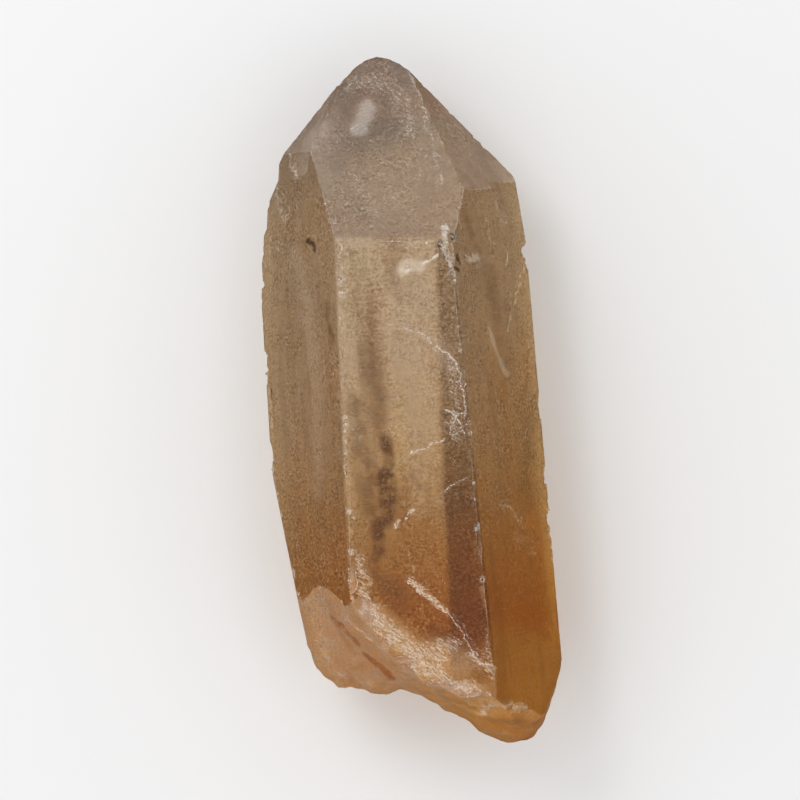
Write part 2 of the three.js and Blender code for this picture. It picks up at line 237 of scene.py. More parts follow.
# %% Draw the sugary patches
SUGAR = [
    Trace([(-6, 84), (2, 84), (7, 78), (9, 70)], 9.5, 0.68, 1.5),
    Trace([(9, 86), (12, 76), (14, 66), (14.8, 56)], 2.4, 0.74),
    Trace([(-10, 86), (-16, 74), (-20, 62)], 2.4, 0.70),
    Trace([(-24, 67), (-22.6, 61)], 2.4, 0.84),
    Trace([(-28.5, 58), (-27, 50)], 3.0, 0.74),
    Trace([(-31, 46), (-32, 30)], 3.0, 0.60),
    Trace([(14.6, 44), (15, 38), (16, 33)], 2.6, 0.95),
    Trace([(-12.6, 42.6), (-12.9, 34), (-12.4, 28), (-12.6, 21)], 1.4, 0.80),
    Trace([(12.6, 10), (13.4, -2), (13.0, -10)], 3.6, 0.70, 1.2),
    Trace([(-13.0, 4), (-13.0, -10)], 3.0, 0.60, 1.2),
    Trace([(-14.8, -24), (-15.2, -34)], 1.6, 0.74),
    Trace([(-14.4, -38), (-13.6, -54)], 4.4, 0.80),
    Trace([(-2.4, -45.8), (1.6, -49.6), (6.4, -54.6)], 2.4, 0.84, 0.6),
    Trace([(11.4, -65.4), (14.6, -69), (18, -70.4)], 2.4, 0.84, 0.6),
    Trace([(-14.0, -52), (-9, -58.5), (-3, -64), (3, -67)], 7.0, 0.86, 1.2),
    Trace([(-4, -62), (1, -64.0), (8, -63.0)], 5.5, 0.80, 1.2),
    Trace([(-3, -68), (5, -72), (12, -76)], 5.5, 0.84, 1.2),
    Trace([(16, -60), (17, -74)], 3.4, 0.70, 1.2),
    Trace([(12, -82), (18, -80), (25, -82)], 3.2, 0.80, 1.2),
    Trace([(14, -87), (20, -89)], 2.4, 0.70, 1.2),
    Trace([(-26, -58), (-24, -68), (-16, -72)], 5.0, 0.62, 1.5),
    Trace([(-20, -54), (-12, -62), (-6, -69)], 2.6, 0.74, 1.2),
    Trace([(22, -27), (25.5, -30), (28, -34)], 2.6, 0.66, 1.0),
    Trace([(26, -36), (31, -42)], 2.8, 0.62, 1.0),
    Trace([(21, 40), (26, 34), (30, 24)], 4.0, 0.56, 1.0),
    Trace([(28, 52), (31, 44)], 4.5, 0.66, 1.0),
    Trace([(-8, 60), (-2, 50), (5, 54)], 6.0, 0.62, 1.0),
    Trace([(24, 62), (20, 70)], 3.6, 0.64, 1.0),
    Trace([(2, -40), (8, -50)], 5.0, 0.54, 1.0),
    Trace([(-12, 10), (0, -30)], 4.0, 0.5, 1.0, from_below=True),
    Trace([(20, 40), (24, -50)], 3.0, 0.5, 1.0, from_below=True),
]
print("sugary patches:", len(SUGAR))

# %% [markdown]
# A wide soft line is the pale haze that a rubbed face or a hidden flaw gives. Some lines are painted
# light instead: a pale oval highlight on the point, a soft glow round two glints on the front, and a
# pale glowing column down the middle of the front. The smoky clouds just under the surface are drawn
# in the same way.

# %% Draw the haze, the painted light and the smoke
HAZE_AND_LIGHT = [
    # Painted highlight: a pale oval on the point.
    Trace([(-5.6, 72.0), (-2.4, 78.0)], 4.2, 0.50, 0.3),
    # Painted glow round the two glints near the top of the front.
    Trace([(2.6, 34.4), (7, 35.0)], 3.6, 0.55, 1.0),
    Trace([(3, 20), (10, 15), (12, 8)], 3.0, 0.26, 1.0),
    # Painted light: this line and the next make a pale glowing column down the middle of the front.
    Trace([(4, 30), (5, 12), (5, -8)], 8.0, 0.14, 1.0),
    Trace([(3.4, -14), (4.4, -26)], 6.5, 0.16, 1.0),
    Trace([(-12.5, -55), (-6, -62), (3, -67), (9, -68)], 7.0, 0.30, 1.2),
    Trace([(-4, -69), (4, -73), (14, -77)], 4.5, 0.30, 1.2),
    Trace([(23.6, 17.2), (25.4, 11.2), (27.4, 4.8)], 1.8, 0.34, 0.4),
    Trace([(20.6, 36.0), (22.6, 35.6)], 2.2, 0.40, 0.4),
    Trace([(-24, 40), (-22, 10), (-24, -20)], 6.0, 0.19, 1.0),
    Trace([(-16, 74), (-21, 64)], 6.0, 0.26, 0.6),
]
SMOKY = [
    Trace([(-5.0, -9), (-5.6, -17)], 3.0, 0.95),
    Trace([(-6.0, -18), (-6.8, -30)], 4.6, 1.0),
    Trace([(-9.0, -31), (-9.8, -39)], 3.6, 0.90),
    Trace([(-12.5, 2), (-11.5, -14), (-11, -28)], 5.0, 0.55),
    Trace([(-8, 14), (-6, -4)], 6.5, 0.48),
    Trace([(-11, -42), (-4, -52)], 6.0, 0.46),
    Trace([(2, 6), (3, -6)], 2.2, 0.40),
    Trace([(1, -18), (3, -22)], 2.6, 0.50),
    Trace([(-17.4, 27), (-16.8, 17)], 2.6, 0.55),
    Trace([(3, -60), (11, -64)], 6.0, 0.50),
    Trace([(15, -84), (24, -86)], 5.0, 0.50),
    Trace([(-29.4, 32.6), (-26.6, 32.0)], 1.2, 0.8),
    Trace([(22, 8), (24, -12)], 4.0, 0.36),
    Trace([(21, 46), (25, 30), (27, 8)], 7.0, 0.42),
    Trace([(-25, -8), (-24, -22)], 4.0, 0.36),
    Trace([(-10, 40), (14, 20)], 5.0, 0.5, from_below=True),
    Trace([(20, 0), (10, -30)], 6.0, 0.6, from_below=True),
]
print("hazy lines:", len(HAZE_AND_LIGHT), " smoky lines:", len(SMOKY))

# %% [markdown]
# The smallest marks are dark pits, where grains of another mineral sit or fell out, and the stains of
# rust that the rock left on the broken end.

# %% Draw the pits and the rust
PITS = [
    Trace([(-21.2, 44.0), (-19.6, 43.0), (-19.4, 41.6)], 1.3, 1.0),
    Trace([(16.4, 42.2), (16.8, 41.4)], 1.0, 1.0),
    Trace([(12.8, 40.6), (12.6, 39.8)], 1.0, 0.9),
    Trace([(17.2, 37.0), (18.4, 34.8)], 0.9, 1.0),
    Trace([(16.8, 33.2), (17.6, 32.6)], 0.8, 1.0),
    Trace([(21.0, 37.2), (21.4, 36.2)], 0.7, 0.9),
    Trace([(-34.6, 6.6), (-34.4, 3.6)], 1.0, 0.9),
    Trace([(-23.2, -54.6), (-21.2, -56.2), (-19.4, -58.2)], 0.7, 1.0),
]
RUST = [
    Trace([(-14.8, -65.0), (-11.8, -67.8), (-9.2, -71.2)], 3.2, 1.0),
    Trace([(-23.6, -54.0), (-20.4, -57.6), (-17.0, -61.6)], 2.6, 0.9),
    Trace([(-18.6, -57.4), (-13.6, -63.6)], 4.0, 0.6),
    Trace([(-27, -62), (-22, -70)], 3.0, 0.5),
    Trace([(14, -83), (22, -86)], 2.6, 0.6),
]
print("pits:", len(PITS), " rust stains:", len(RUST))

# %% [markdown]
# A drawn line is flat, so it is dropped on the stone: a ray goes straight down from each of its points,
# or straight up for the underside, and the place that it meets belongs to the line.

# %% Drop the lines on the stone
TRACE_STEP = 0.15 * MM
ABOVE = 200 * MM
DRIFT_PER_MM = 0.5

surface = BVHTree.FromBMesh(bm)


def smoothstep(value, low, high):
    t = min(1.0, max(0.0, (value - low) / (high - low)))
    return t * t * (3 - 2 * t)


def curve_point(p, i, t):
    """A point of the smooth curve through the drawn points, t of the way from point i to the next."""
    before, a, b, after = (p[min(max(k, 0), len(p) - 1)] for k in (i - 1, i, i + 1, i + 2))
    return 0.5 * (2 * a + (b - before) * t + (2 * before - 5 * a + 4 * b - after) * t * t
                  + (3 * a - before - 3 * b + after) * t * t * t)


def lay_on_stone(trace):
    """The points of a drawn line where it lies on the surface, close together."""
    laid = []
    for i in range(len(trace.points) - 1):
        length = (trace.points[i + 1] - trace.points[i]).length * MM
        count = max(1, round(length / TRACE_STEP))
        for k in range(count):
            flat = curve_point(trace.points, i, k / count)
            drift = Vector((flat.x * DRIFT_PER_MM, flat.y * DRIFT_PER_MM, 3.0))
            flat.x += trace.wobble * noise.noise(drift)
            flat.y += trace.wobble * noise.noise(drift + Vector((31, 17, 5)))
            side = -1 if trace.from_below else 1
            start = Vector((flat.x * MM, flat.y * MM, side * ABOVE))
            hit = surface.ray_cast(start, Vector((0, 0, -side)))[0]
            if hit:
                laid.append((hit, trace))
    return laid


class Marks:
    """All drawn lines of one kind, laid on the stone. The core is the share of a line's half width
    that is marked in full; from there the mark fades to the line's edge."""

    def __init__(self, traces, core):
        self.core = core
        self.points = [p for trace in traces for p in lay_on_stone(trace)]
        self.near = tree_of([co for co, _ in self.points])

    def distance(self, co):
        return self.near.find(co)[2]

    def at(self, co):
        """How strongly the lines mark the point, from 0 to 1."""
        _, index, distance = self.near.find(co)
        trace = self.points[index][1]
        fade = smoothstep(distance, self.core * trace.half_width, trace.half_width)
        return trace.strength * (1 - fade)


cracks_and_glints = Marks(CRACKS_AND_GLINTS, core=0.25)
sugar_marks = Marks(SUGAR, core=0.1)
haze_and_light_marks = Marks(HAZE_AND_LIGHT, core=0.25)
smoky_marks = Marks(SMOKY, core=0.0)
pit_marks = Marks(PITS, core=0.3)
rust_marks = Marks(RUST, core=0.2)
print("points on cracks:", len(cracks_and_glints.points), " on sugary patches:", len(sugar_marks.points))

# %% [markdown]
# Fine detail needs small facets, but only where it is. Facets are divided again at the worn tip, along
# the edges and around the cracks, and twice more where the cracks run.

# %% Divide the facets where there is fine detail
TIP_BEGINS = 70 * MM
EDGE_BAND = 0.9 * MM
CRACK_BAND = 0.8 * MM
NEAR_CRACK = 0.6 * CRACK_BAND
SHORT = 0.30 * MM


def divide(bm, wanted):
    """Halves the edges whose two ends are both wanted, and that are still long."""
    chosen = {v for v in bm.verts if wanted(v)}
    edges = [e for e in bm.edges
             if e.verts[0] in chosen and e.verts[1] in chosen and e.calc_length() > SHORT]
    bmesh.ops.subdivide_edges(bm, edges=edges, cuts=1, use_grid_fill=True)
    cut_many_sided(bm)


def brokenness(v):
    faces = v.link_faces
    return sum(f[broken_face] for f in faces) / len(faces)


divide(bm, lambda v: v.co.y > TIP_BEGINS or near_edge.find(v.co)[2] < EDGE_BAND
       or cracks_and_glints.distance(v.co) < CRACK_BAND + SLICE_ACROSS)
divide(bm, lambda v: min(cracks_and_glints.distance(v.co), pit_marks.distance(v.co)) < CRACK_BAND)
divide(bm, lambda v: cracks_and_glints.distance(v.co) < NEAR_CRACK)
print("facets now:", len(bm.faces))

# %% [markdown]
# Where two faces meet, small shells of stone have been knocked off. They sit in clusters with clean
# stretches between them, so a slow noise decides where chips may be, and a few places known from the
# real stone get more. Each chip is a shallow bowl. Chance and noise have a fixed seed, so every run
# gives the same stone.

# %% Choose where the edges are chipped
SEED = 7
CHIPS = 560
CHIP_SMALLEST, CHIP_LARGEST = 0.26 * MM, 1.15 * MM
MOSTLY_SMALL = 2.5
SCATTER = 0.4
PATCHES_PER_METRE = 60
PATCH_BONUS = 0.25
CHANCE_AT_TIP, CHANCE_ELSEWHERE = 0.5, 0.04
CLUSTER_REACH = 7 * MM
CLUSTERS = [Vector((cx, cy, 60)) * MM for cx, cy in
            ((-13, 40), (-13, 32), (-13.6, 24), (16, 38), (16, 31), (15.6, 4), (-17, -46), (15, -8),
             (14, 62), (10, 78), (-22, 58))]

noise.seed_set(SEED)
dice = random.Random(SEED)
chips = []
while len(chips) < CHIPS:
    site = dice.choice(edge_points)
    patch = noise.noise(site * PATCHES_PER_METRE) + PATCH_BONUS
    cluster = min((site - c).length for c in CLUSTERS)
    anywhere = CHANCE_AT_TIP if site.y > TIP_BEGINS else CHANCE_ELSEWHERE
    chance = max(patch, 1 - cluster / CLUSTER_REACH, anywhere)
    if dice.random() < chance:
        size = CHIP_SMALLEST + (CHIP_LARGEST - CHIP_SMALLEST) * dice.random() ** MOSTLY_SMALL
        jitter = Vector([dice.uniform(-SCATTER, SCATTER) for _ in range(3)]) * size
        chips.append((site + jitter, size))
near_chip = tree_of([co for co, _ in chips])
print("chips on the edges:", len(chips))

# %% [markdown]
# Wear leaves traces of many sizes, so it needs several noises. Growth steps run across the sides, and
# differ from side to side. A chip is a bowl that is steep at its rim.

# %% Helpers for wear
CHIP_BOWL = 0.42
PER_METRE = {"ragged": 1700, "sway": 260, "gaps": 330, "wave": 80, "ring": 70, "ripple": 55,
             "tip_pits": 900, "sugar_pits": 1100, "broad_steps": 130, "fine_steps": 520}


def waver(co, kind):
    """Plain noise, from -1 to 1."""
    return noise.noise(co * PER_METRE[kind])


def rough(co, kind):
    """Noise with a finer one on it."""
    return noise.fractal(co * PER_METRE[kind], 0.6, 2.1, 2)


def pushed(co, kind, reach):
    """The place, pushed aside by noise."""
    return co + noise.noise_vector(co * PER_METRE[kind]) * reach


def unit(value):
    """Turns -1 to 1 into 0 to 1."""
    return 0.5 + 0.5 * value


def growth_steps(co, normal):
    """Fine steps across the crystal, different on each side."""
    side = math.atan2(normal.x, normal.z)
    broad = Vector((side * 3, co.y * PER_METRE["broad_steps"], 1.7))
    fine = Vector((side * 3, co.y * PER_METRE["fine_steps"], co.x * 12))
    return 0.6 * noise.noise(broad) + 0.4 * noise.noise(fine)


def chip_at(co):
    """How deep inside a chip the point is, from 0 to 1, and how deep that chip is cut."""
    best = cut = 0.0
    for _, index, distance in near_chip.find_range(co, CHIP_LARGEST):
        size = chips[index][1]
        inside = 1 - distance / size
        if inside > best:
            best = inside
            cut = CHIP_BOWL * size * math.sqrt(inside)
    return best, cut


print("kinds of noise:", len(PER_METRE))

# %% [markdown]
# Now every point moves in a little, by the sum of what happened at its place: the face's own slight
# waves, the growth steps on the sides, the rounding of the edge, chips, pits at the tip, open cracks,
# and on the broken end the ripples that spread from where the blow struck. Points move inwards, and
# stay in the measured box. Each drawn line is looked up from a place that noise has pushed aside, so
# that its edge is ragged. What was found at each point stays on it as a value, for colouring.

# %% Work the surface
WAVE = 0.06 * MM
GROWTH_STEP = 0.10 * MM
ROUNDING = 0.14 * MM
ROUNDED_WIDTH = 0.55 * MM
ROUNDED_ANYWHERE, ROUNDED_BY_WEAR = 0.6, 0.8
WORN_FROM, WORN_TO = 55 * MM, 88 * MM
PITTING = 0.24 * MM
PITTED_MORE = 0.1
CRACK_DEPTH = 0.16 * MM
CRACK_GAPS = (-0.9, -0.3)
RAGGED = 0.16 * MM
SWAY = 1.1 * MM
PIT_DEPTH = 0.55 * MM
SUGAR_DEPTH = 0.10 * MM
RIPPLE = 0.26 * MM
RIPPLE_LENGTH = 4.2 * MM
RING_WANDER = 0.6
STRUCK_AT = Vector((14, -97, 34)) * MM
VALUES = ("edge_wear", "chipped", "cracked_and_glinting", "sugary", "hazy_and_lit", "smoky", "pitted", "rusty")

layers = [bm.verts.layers.float.new(name) for name in VALUES]
moves = []
for v in bm.verts:
    co, normal = v.co, v.normal
    grown = 1 - brokenness(v)
    to_edge = near_edge.find(co)[2]
    worn = smoothstep(co.y, WORN_FROM, WORN_TO)
    chip, chip_cut = chip_at(co)
    ragged = pushed(co, "ragged", RAGGED)
    swayed = pushed(co, "sway", SWAY)
    wear = 1 - smoothstep(to_edge, 0, EDGE_BAND)
    crack_and_glint = cracks_and_glints.at(ragged) * smoothstep(rough(co, "gaps"), *CRACK_GAPS)
    sugar = sugar_marks.at(swayed)
    haze_and_light = haze_and_light_marks.at(swayed)
    smoke = smoky_marks.at(swayed)
    pit = pit_marks.at(ragged)
    rust = rust_marks.at(swayed)
    rounded = 1 - smoothstep(to_edge, 0, ROUNDED_WIDTH)
    ring = (co - STRUCK_AT).length / RIPPLE_LENGTH + RING_WANDER * waver(co, "ring")
    ripple = RIPPLE * (1 + math.sin(2 * math.pi * ring)) * unit(waver(co, "ripple"))
    cut = WAVE * unit(waver(co, "wave"))
    cut += grown * GROWTH_STEP * unit(growth_steps(co, normal))
    cut += ROUNDING * rounded * (ROUNDED_ANYWHERE + ROUNDED_BY_WEAR * worn)
    cut += PITTING * worn * max(0.0, rough(co, "tip_pits") + PITTED_MORE)
    cut += CRACK_DEPTH * crack_and_glint + SUGAR_DEPTH * sugar * max(0.0, rough(co, "sugar_pits"))
    cut += (1 - grown) * ripple + chip_cut + PIT_DEPTH * pit
    marks = (wear, chip, crack_and_glint, sugar, haze_and_light, smoke, pit, rust)
    for layer, value in zip(layers, marks):
        v[layer] = value
    moves.append((v, co - normal * cut))
for v, place in moves:
    v.co = [min(max(place[i], low[i]), high[i]) for i in range(3)]
print("points moved:", len(moves))

# %% [markdown]
# The worn mesh is the stone that is seen. It stands in for the measured crystal, in the same place. Its
# faces are shaded smooth, and stay sharp where they meet at a real edge.

# %% Put the stone in the scene
CREASE = math.radians(22)

for face in bm.faces:
    face.smooth = True
bm.to_mesh(stone_mesh)
bm.free()
stone_mesh.set_sharp_from_angle(angle=CREASE)
stone = bpy.data.objects.new("citrine_stone", stone_mesh)
bpy.context.scene.collection.objects.link(stone)
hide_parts("citrine_crystal")
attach(stone, "root")
print("stone triangles:", sum(len(p.vertices) - 2 for p in stone_mesh.polygons))

# %% [markdown]
# A material is a small program of nodes. This helper adds one named step at a time, so that the recipe
# below can be read from top to bottom. The recipe makes its masks in one way: a drawn mark and some
# noise are added up, and a step between two values, named EDGE, cuts the sum into a ragged shape.

# %% Helpers for shading
VALUE_A, VALUE_B = 2, 3
COLOUR_A, COLOUR_B = 6, 7


class Shading:
    """Builds the node graph of a material or a world, one named step at a time."""

    def __init__(self, owner):
        owner.use_nodes = True
        self.owner = owner
        self.tree = owner.node_tree
        self.tree.nodes.clear()

    def add(self, kind, inputs=None, **settings):
        node = self.tree.nodes.new("ShaderNode" + kind)
        for key, value in settings.items():
            setattr(node, key, value)
        for key, value in (inputs or {}).items():
            self.feed(node.inputs[key], value)
        return node

    def feed(self, socket, value):
        if isinstance(value, bpy.types.NodeSocket):
            self.tree.links.new(value, socket)
        else:
            socket.default_value = value

    def math(self, operation, a, b=0.0, c=0.0, clamp=False):
        node = self.add("Math", {0: a, 1: b, 2: c}, operation=operation, use_clamp=clamp)
        return node.outputs[0]

    def chain(self, operation, values):
        result = values[0]
        for value in values[1:]:
            result = self.math(operation, result, value)
        return result

    def times(self, *values):
        return self.chain("MULTIPLY", values)

    def most(self, *values):
        return self.chain("MAXIMUM", values)

    def plus(self, value, factor, base):
        """The value times the factor, on top of the base."""
        return self.math("MULTIPLY_ADD", value, factor, base)

    def less(self, value):
        """What the value leaves of one."""
        return self.math("SUBTRACT", 1.0, value)

    def step(self, value, low, high):
        """0 below low, 1 above high, smooth between."""
        node = self.add("MapRange", {"Value": value, "From Min": low, "From Max": high},
                        interpolation_type="SMOOTHSTEP", clamp=True)
        return node.outputs["Result"]

    def noise(self, vector, scale, detail=3.0, roughness=0.55):
        node = self.add("TexNoise", {"Vector": vector, "Scale": scale, "Detail": detail,
                                     "Roughness": roughness})
        return node.outputs["Fac"]

    def stretch(self, vector, scale):
        return self.add("Mapping", {"Vector": vector, "Scale": scale}).outputs["Vector"]

    def value_of(self, attribute):
        return self.add("Attribute", attribute_name=attribute).outputs["Fac"]

    def mix_colours(self, way, amount, a, b):
        node = self.add("Mix", {0: amount, COLOUR_A: a, COLOUR_B: b}, data_type="RGBA", blend_type=way)
        return node.outputs[2]

    def blend(self, amount, a, b):
        return self.mix_colours("MIX", amount, a, b)

    def darken(self, amount, colour, tint):
        """Multiplies the colour by a tint, by the given amount."""
        return self.mix_colours("MULTIPLY", amount, colour, tint)

    def blend_value(self, amount, a, b):
        node = self.add("Mix", {0: amount, VALUE_A: a, VALUE_B: b}, data_type="FLOAT")
        return node.outputs[0]


# %% [markdown]
# Citrine is see-through, and its colour sits in its whole depth. The body is glass with the refractive
# index of quartz, and a plain absorption makes it darker where the light goes further. The real stone
# is deep amber at the broken end and a greyish tan at the point, so the surface tints the light too,
# along a gradient that slow noise bends. The sides are painted a little darker than the front, which
# is painted shade, and the outer faces of the point a little greyer. Heights and places are in
# millimetres from here on.

# %% Colour of the body
GREY_TOP = (0.46, 0.42, 0.39, 1)
TAN = (1.0, 0.90, 0.74, 1)
AMBER = (1.0, 0.74, 0.34, 1)
DEEP_AMBER = (0.97, 0.55, 0.06, 1)
SIDE_SHADE_TINT = (0.96, 0.87, 0.70, 1)
FRONT_TINT = (1.0, 0.88, 0.70, 1)
PALE_MAUVE = (0.92, 0.85, 0.80, 1)
TO_AMBER = (-55.0, -5.0)
TO_TAN = (-20.0, 42.0)
TO_GREY = (72.0, 108.0)
CLOUD_PER_MM = 0.045
CLOUD_BEND = 40.0
LEAN_OF_COLOUR = -0.45
FRONT_HEIGHT = (59.0, 60.2)
LEFT_OF_POINT = (-16.0, -8.0)
RIGHT_OF_POINT = (29.6, 31.2)
SLANT_OF_EDGE = 0.192
GREYER = 0.6

sh = Shading(bpy.data.materials.new("citrine"))
place = sh.add("TexCoord").outputs["Object"]
mm = sh.add("VectorMath", {0: place, "Scale": 1 / MM}, operation="SCALE").outputs["Vector"]
xyz = sh.add("SeparateXYZ", {"Vector": mm})
x, y, z = xyz.outputs["X"], xyz.outputs["Y"], xyz.outputs["Z"]
cloud = sh.noise(mm, CLOUD_PER_MM, 2)
up_stone = sh.plus(x, LEAN_OF_COLOUR, sh.plus(cloud, CLOUD_BEND, y))
body = sh.blend(sh.step(up_stone, *TO_AMBER), DEEP_AMBER, AMBER)
body = sh.blend(sh.step(up_stone, *TO_TAN), body, TAN)
body = sh.blend(sh.step(up_stone, *TO_GREY), body, GREY_TOP)
front = sh.step(z, *FRONT_HEIGHT)
point = sh.value_of("point_face")
side = sh.less(sh.most(front, point))
# Painted shade: the sides are tinted a little darker than the front.
body = sh.darken(side, body, SIDE_SHADE_TINT)
body = sh.darken(front, body, FRONT_TINT)
left_face = sh.less(sh.step(x, *LEFT_OF_POINT))
right_face = sh.step(sh.plus(y, SLANT_OF_EDGE, x), *RIGHT_OF_POINT)
body = sh.blend(sh.times(point, sh.most(left_face, right_face), GREYER), body, PALE_MAUVE)
print("the body runs from", DEEP_AMBER[:3], "to", GREY_TOP[:3])

# %% [markdown]
# A few noises serve the whole recipe. Growth leaves slow columns along the stone and fine lines across
# it, and wear leaves a grain, fine and finer, that is stronger in some patches than in others.

# %% Noises of the stone
COLUMNS_PER_MM = (0.14, 0.022, 0.14)
ACROSS_PER_MM = (0.20, 2.4, 0.20)
FINE_PER_MM = 1.4
GRAIN_PER_MM = 2.8
COARSE_PER_MM = 0.22
PATCH_EDGE = (0.38, 0.62)
BETWEEN_PATCHES = 0.55
MORE_IN_PATCHES = 0.45

columns = sh.noise(sh.stretch(mm, COLUMNS_PER_MM), 1.0, 2, 0.6)
across = sh.noise(sh.stretch(mm, ACROSS_PER_MM), 1.0, 2, 0.65)
fine = sh.noise(mm, FINE_PER_MM, 3, 0.85)
grain = sh.noise(mm, GRAIN_PER_MM, 2, 0.7)
coarse = sh.noise(mm, COARSE_PER_MM, 2, 0.7)
patches = sh.plus(sh.step(coarse, *PATCH_EDGE), MORE_IN_PATCHES, BETWEEN_PATCHES)
print("smallest grain:", round(1 / GRAIN_PER_MM, 2), "mm")

# %% [markdown]
# Inside the stone hang smoky clouds, and faint columns run along the whole crystal. A long dark band
# under the front face beside its right edge is painted shade: a darker strip where the faces inside the
# stone turn the light away, not a cloud. They all darken the light as the body does. Noise breaks
# up the drawn clouds and pits, so that they look grown and not painted.

# %% Smoky clouds and a band of painted shade
SMOKE_AND_SHADE = (0.24, 0.165, 0.075, 1)
PIT_BROWN = (0.10, 0.06, 0.035, 1)
BAND_FROM = 9.4
BAND_LEAN = 0.050
BAND_WANDER = 0.9
BAND_EDGE = (-0.9, 1.1)
BAND_BOTTOM = (-78.0, -60.0)
BAND_TOP = (39.0, 43.0)
BAND_FADES = (-40.0, 10.0)
BAND_DEPTH = (0.78, 0.72)
COLUMN_EDGE = (0.50, 0.68)
COLUMN_GRAIN = (0.2, 0.7)
COLUMN_DEPTH = 0.42
KNOT_DRAWN, KNOT_ACROSS, KNOT_FINE = 0.75, 0.3, 0.9
KNOT_EDGE = (0.72, 1.18)
KNOT_PATCH = (0.40, 0.54)
KNOT_LEAST, KNOT_MORE = 0.64, 0.36
PIT_FINE = 1.4
PIT_EDGE = (1.14, 1.44)
PIT_DARKNESS = 0.95

# Painted shade: the dark band stands for light turned away inside the stone, not for smoke.
band_from = sh.plus(columns, BAND_WANDER, sh.plus(y, BAND_LEAN, BAND_FROM))
band = sh.step(sh.math("SUBTRACT", x, band_from), *BAND_EDGE)
band = sh.times(band, front, sh.step(y, *BAND_BOTTOM), sh.less(sh.step(y, *BAND_TOP)))
band_depth = sh.blend_value(sh.step(y, *BAND_FADES), *BAND_DEPTH)
streaks = sh.times(sh.step(columns, *COLUMN_EDGE), sh.step(fine, *COLUMN_GRAIN), COLUMN_DEPTH)
knots = sh.plus(sh.value_of("smoky"), KNOT_DRAWN, sh.times(across, KNOT_ACROSS))
knots = sh.step(sh.plus(fine, KNOT_FINE, knots), *KNOT_EDGE)
knots = sh.times(knots, sh.plus(sh.step(coarse, *KNOT_PATCH), KNOT_MORE, KNOT_LEAST))
# One smoke colour darkens the real clouds and columns, and also the painted shade of the band.
body = sh.darken(sh.most(sh.times(band, band_depth), streaks, knots), body, SMOKE_AND_SHADE)
pit = sh.step(sh.plus(fine, PIT_FINE, sh.value_of("pitted")), *PIT_EDGE)
body = sh.darken(sh.times(pit, PIT_DARKNESS), body, PIT_BROWN)
print("the band begins", BAND_FROM, "mm right of the middle")

# %% [markdown]
# The broken end is duller than the grown faces, tan and pale in turns. The knob at its lowest corner is
# darker, and rust from the rock has soaked into its hollows.

# %% The broken end
BREAK_TAN = (0.90, 0.52, 0.28, 1)
BREAK_PALE = (0.98, 0.72, 0.52, 1)
KNOB_TINT = (0.84, 0.66, 0.48, 1)
RUST_RED = (0.44, 0.13, 0.015, 1)
BREAK_BELOW = (-44.0, -36.0)
KNOB_BELOW = (-86.0, -79.0)
CRUST_ABOVE = (-84.0, -70.0)
CRUST_COVER = (0.15, 0.7)
CRUST_EDGE = (0.40, 0.62)
SOAKED_COLUMN, SOAKED_GRAIN = (0.52, 0.66), (0.4, 0.6)
SOAKED_DEPTH = 0.35
STAIN_DRAWN, STAIN_COARSE = 0.6, 0.5
STAIN_EDGE = (1.08, 1.36)

broken = sh.value_of("broken")
broken_end = sh.times(broken, sh.less(sh.step(y, *BREAK_BELOW)))
crust = sh.blend(sh.step(coarse, *CRUST_EDGE), BREAK_TAN, BREAK_PALE)
crust_cover = sh.blend_value(sh.step(y, *CRUST_ABOVE), *CRUST_COVER)
body = sh.blend(sh.times(broken_end, crust_cover), body, crust)
knob = sh.times(broken_end, sh.less(sh.step(y, *KNOB_BELOW)))
body = sh.darken(knob, body, KNOB_TINT)
soaked = sh.times(sh.step(columns, *SOAKED_COLUMN), sh.step(fine, *SOAKED_GRAIN), SOAKED_DEPTH)
stain = sh.plus(sh.value_of("rusty"), STAIN_DRAWN, sh.times(coarse, STAIN_COARSE))
stain = sh.step(sh.math("ADD", fine, stain), *STAIN_EDGE)
rust = sh.times(broken_end, sh.most(stain, soaked))
body = sh.blend(rust, body, RUST_RED)
print("the break lies below", BREAK_BELOW[1], "mm")

# %% [markdown]
# Etching and long wear have left a fine grain on every face. Its hollows hold dirt and look darker, and
# its crests look dusty. The dust is warmer over the deep amber of the lower stone, and thinner there on the
# dark band. Both are weaker on the lower sides.

# %% Grain
GRAIN_BROWN = (0.44, 0.35, 0.28, 1)
DUST_WHITE = (0.90, 0.82, 0.73, 1)
DUST_WARM = (0.92, 0.72, 0.48, 1)
HOLLOW_EDGE = (0.36, 0.60)
CREST_EDGE = (0.48, 0.68)
DIRT_DEPTH = {"side": 1.0, "point": 0.66, "front": 0.74, "band": 1.0}
DUST_DEPTH = {"side": 0.42, "point": 0.50, "front": 0.33}
DEEP_BELOW = (-50.0, 0.0)
CALM_OF_SIDES = 0.5
THINNER_ON_BAND = 0.4


def by_face(depths):
    """A value that differs on the sides, on the point and on the front."""
    return sh.blend_value(front, sh.blend_value(point, depths["side"], depths["point"]), depths["front"])


deep = sh.less(sh.step(up_stone, *DEEP_BELOW))
strength = sh.times(patches, sh.less(sh.times(deep, side, CALM_OF_SIDES)))
dirt_depth = sh.blend_value(band, by_face(DIRT_DEPTH), DIRT_DEPTH["band"])
dirt = sh.times(sh.less(sh.step(fine, *HOLLOW_EDGE)), strength, dirt_depth)
body = sh.darken(dirt, body, GRAIN_BROWN)
dust = sh.times(sh.step(fine, *CREST_EDGE), strength, by_face(DUST_DEPTH))
dust = sh.times(dust, sh.less(sh.times(deep, band, THINNER_ON_BAND)))
colour = sh.blend(dust, body, sh.blend(deep, DUST_WHITE, DUST_WARM))
print("dust on the sides:", DUST_DEPTH["side"], " on the front:", DUST_DEPTH["front"])

